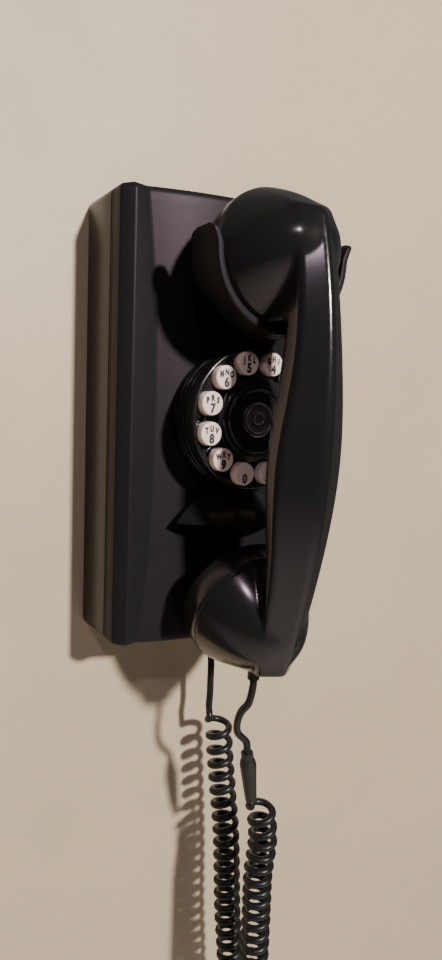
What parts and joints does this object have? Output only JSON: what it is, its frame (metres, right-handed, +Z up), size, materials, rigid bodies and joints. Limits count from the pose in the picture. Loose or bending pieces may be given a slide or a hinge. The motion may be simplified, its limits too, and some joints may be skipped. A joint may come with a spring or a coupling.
{
  "type": "corded wall telephone",
  "caption": "Wall telephone with a handset hung in a forked cradle over a round push-button dial, and a curly cord hanging in a loop below the case.",
  "frame": {"origin": "middle of the line between the two keyholes in the back plate, on the wall plane", "axes": "+Z up, -Y out of the wall towards the user, +X to the user's right"},
  "size_m": [0.125, 0.1274, 0.511],
  "materials": {
    "case_plastic": "satin-gloss black moulding",
    "back_plastic": "matt black moulding",
    "dial_plastic": "satin-gloss black moulding",
    "badge_metal": "bright turned disc",
    "key_plastic": "cream moulding",
    "handset_plastic": "gloss black moulding",
    "rubber": "matt rubber",
    "cord_jacket": "smooth black jacket",
    "joiner_plastic": "matt black moulding",
    "board": "green circuit board",
    "steel": "plated steel",
    "parts_plastic": "dark moulding",
    "capsule_metal": "dull metal"
  },
  "bodies": {
    "case": {"back_plate": "back_plastic", "rear_housing": "case_plastic", "front_cover": "case_plastic", "cover_screws": "steel", "dial_ring": "dial_plastic", "dial_face": "dial_plastic", "dial_hub": "dial_plastic", "hub_badge": "badge_metal", "keypad_board": "board", "keypad_membrane": "rubber", "cradle_pin": "steel", "cradle_spring": "steel", "hook_switch": "parts_plastic", "main_board": "board", "ringer": "capsule_metal", "line_jack": "parts_plastic", "body_grommet": "rubber", "body_lead": "cord_jacket", "coil_cord": "cord_jacket"},
    "handset": {"handset_body": "handset_plastic", "ear_cap": "handset_plastic", "mouth_cap": "handset_plastic", "receiver": "capsule_metal", "microphone": "capsule_metal", "handset_grommet": "rubber", "handset_lead": "cord_jacket", "cord_joiner": "joiner_plastic"},
    "cradle": {"cradle": "case_plastic"},
    "key_1": {"key_1": "key_plastic"},
    "key_2": {"key_2": "key_plastic"},
    "key_3": {"key_3": "key_plastic"},
    "key_4": {"key_4": "key_plastic"},
    "key_5": {"key_5": "key_plastic"},
    "key_6": {"key_6": "key_plastic"},
    "key_7": {"key_7": "key_plastic"},
    "key_8": {"key_8": "key_plastic"},
    "key_9": {"key_9": "key_plastic"},
    "key_star": {"key_star": "key_plastic"},
    "key_0": {"key_0": "key_plastic"},
    "key_hash": {"key_hash": "key_plastic"}
  },
  "joints": [
    {"name": "handset_lift", "type": "slide", "parent": "case", "child": "handset", "axis": [0, -0.5, 0.866], "range_m": [0, 0.06], "deforming": ["coil_cord", "handset_lead", "cord_joiner"]},
    {"name": "cradle_tilt", "type": "hinge", "parent": "case", "child": "cradle", "pos_m": [0, -0.022, 0.0447], "axis": [-1, 0, 0], "range_deg": [0, 4.2], "deforming": ["cradle_spring"]},
    {"name": "key_1_press", "type": "slide", "parent": "case", "child": "key_1", "axis": [0, 1, 0], "range_m": [0, 0.0015], "stiffness_N_per_m": 400, "springref_m": -0.0005},
    {"name": "key_2_press", "type": "slide", "parent": "case", "child": "key_2", "axis": [0, 1, 0], "range_m": [0, 0.0015], "stiffness_N_per_m": 400, "springref_m": -0.0005},
    {"name": "key_3_press", "type": "slide", "parent": "case", "child": "key_3", "axis": [0, 1, 0], "range_m": [0, 0.0015], "stiffness_N_per_m": 400, "springref_m": -0.0005},
    {"name": "key_4_press", "type": "slide", "parent": "case", "child": "key_4", "axis": [0, 1, 0], "range_m": [0, 0.0015], "stiffness_N_per_m": 400, "springref_m": -0.0005},
    {"name": "key_5_press", "type": "slide", "parent": "case", "child": "key_5", "axis": [0, 1, 0], "range_m": [0, 0.0015], "stiffness_N_per_m": 400, "springref_m": -0.0005},
    {"name": "key_6_press", "type": "slide", "parent": "case", "child": "key_6", "axis": [0, 1, 0], "range_m": [0, 0.0015], "stiffness_N_per_m": 400, "springref_m": -0.0005},
    {"name": "key_7_press", "type": "slide", "parent": "case", "child": "key_7", "axis": [0, 1, 0], "range_m": [0, 0.0015], "stiffness_N_per_m": 400, "springref_m": -0.0005},
    {"name": "key_8_press", "type": "slide", "parent": "case", "child": "key_8", "axis": [0, 1, 0], "range_m": [0, 0.0015], "stiffness_N_per_m": 400, "springref_m": -0.0005},
    {"name": "key_9_press", "type": "slide", "parent": "case", "child": "key_9", "axis": [0, 1, 0], "range_m": [0, 0.0015], "stiffness_N_per_m": 400, "springref_m": -0.0005},
    {"name": "key_star_press", "type": "slide", "parent": "case", "child": "key_star", "axis": [0, 1, 0], "range_m": [0, 0.0015], "stiffness_N_per_m": 400, "springref_m": -0.0005},
    {"name": "key_0_press", "type": "slide", "parent": "case", "child": "key_0", "axis": [0, 1, 0], "range_m": [0, 0.0015], "stiffness_N_per_m": 400, "springref_m": -0.0005},
    {"name": "key_hash_press", "type": "slide", "parent": "case", "child": "key_hash", "axis": [0, 1, 0], "range_m": [0, 0.0015], "stiffness_N_per_m": 400, "springref_m": -0.0005}
  ],
  "couplings": [
    {"joint": "cradle_tilt", "follows": "handset_lift", "rad_per_m": 1.17}
  ]
}
